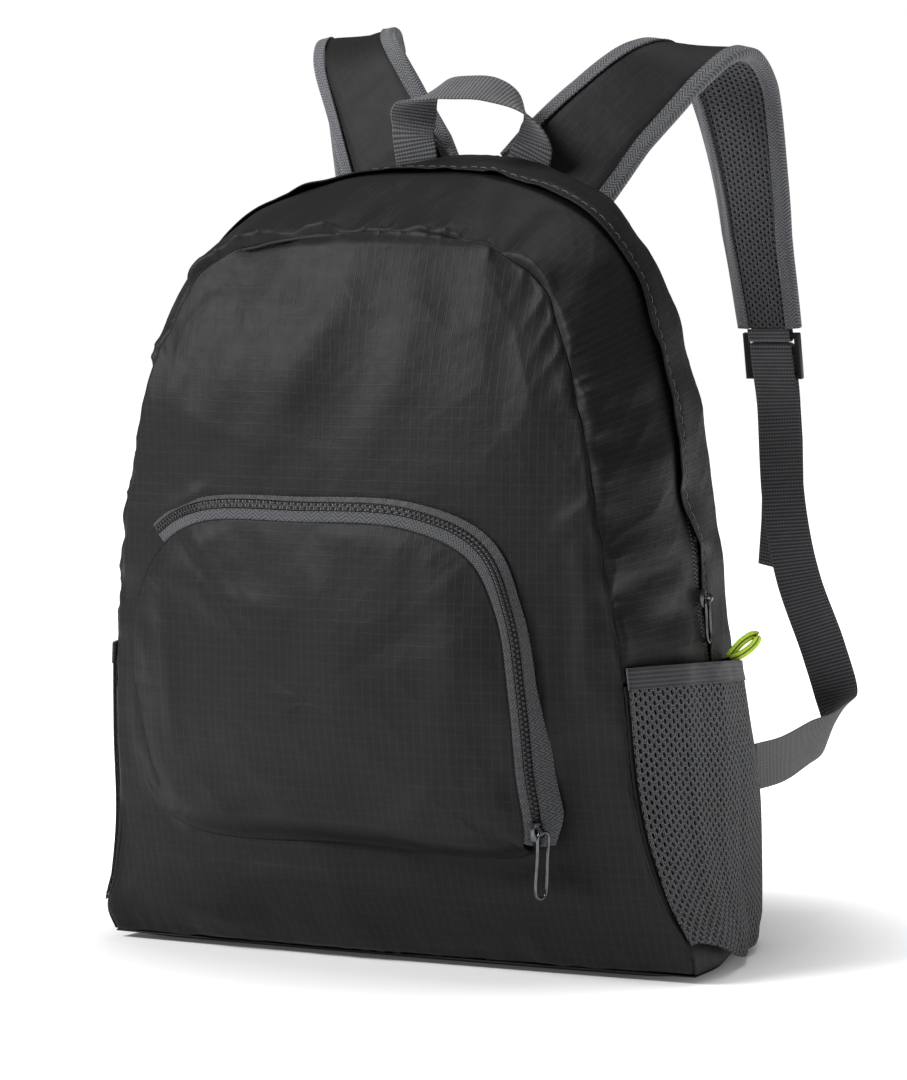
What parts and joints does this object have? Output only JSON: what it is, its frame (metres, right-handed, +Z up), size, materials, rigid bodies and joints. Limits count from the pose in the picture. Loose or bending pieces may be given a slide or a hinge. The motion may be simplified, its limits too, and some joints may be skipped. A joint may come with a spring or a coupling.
{
  "type": "packable backpack",
  "caption": "Soft packable daypack with an arched zip, an L-zipped front pocket, mesh side pockets, padded mesh straps and a webbing handle.",
  "frame": {"origin": "middle of the base panel, on the surface the bag stands on", "axes": "+Z up, -Y the front with the zipped pocket, +Y the back that is worn, +X to the right of somebody looking at the front"},
  "size_m": [0.3448, 0.3506, 0.4875],
  "materials": {
    "black_ripstop": "thin coated ripstop nylon, faint sheen",
    "grey_webbing": "ribbed woven webbing, matte",
    "grey_mesh": "knitted air mesh, matte",
    "grey_tape": "woven tape, matte",
    "black_nylon": "moulded nylon, satin",
    "gun_metal": "gunmetal plating, polished",
    "lime_ribbon": "woven ribbon, matte"
  },
  "bodies": {
    "bag": {"front_panel": "black_ripstop", "back_panel": "black_ripstop", "base_panel": "black_ripstop", "front_gusset": "black_ripstop", "rear_gusset": "black_ripstop", "left_side_panel": "black_ripstop", "right_side_panel": "black_ripstop", "main_zip_tape": "black_nylon", "main_zip_coil": "black_nylon", "pocket_face": "black_ripstop", "pocket_zip_tape_inner": "grey_tape", "pocket_zip_tape_outer": "grey_tape", "pocket_zip_coil": "black_nylon", "left_side_pocket_mesh": "grey_mesh", "left_side_pocket_band": "grey_tape", "right_side_pocket_mesh": "grey_mesh", "right_side_pocket_band": "grey_tape", "grab_handle": "grey_webbing", "left_strap_cover": "black_ripstop", "left_strap_lining": "grey_mesh", "left_strap_binding_inner": "grey_tape", "left_strap_binding_outer": "grey_tape", "left_ladder_lock": "black_nylon", "left_lock_loop": "grey_webbing", "left_strap_webbing": "grey_webbing", "right_strap_cover": "black_ripstop", "right_strap_lining": "grey_mesh", "right_strap_binding_inner": "grey_tape", "right_strap_binding_outer": "grey_tape", "right_ladder_lock": "black_nylon", "right_lock_loop": "grey_webbing", "right_strap_webbing": "grey_webbing", "pocket_zip_slider": "gun_metal", "main_zip_slider": "gun_metal", "loop_tag": "lime_ribbon"},
    "pocket_pull": {"pocket_zip_pull": "gun_metal"},
    "main_pull": {"main_zip_pull": "gun_metal"}
  },
  "joints": [
    {"name": "pocket_pull_swing", "type": "hinge", "parent": "bag", "child": "pocket_pull", "pos_m": [0.10865, -0.10588, 0.07683], "axis": [-0.4324, -0.9011, 0.0318], "range_deg": [0, 150]},
    {"name": "main_pull_swing", "type": "hinge", "parent": "bag", "child": "main_pull", "pos_m": [0.14412, 0.01948, 0.18612], "axis": [0.1241, -0.9916, -0.0364], "range_deg": [0, 150]}
  ]
}
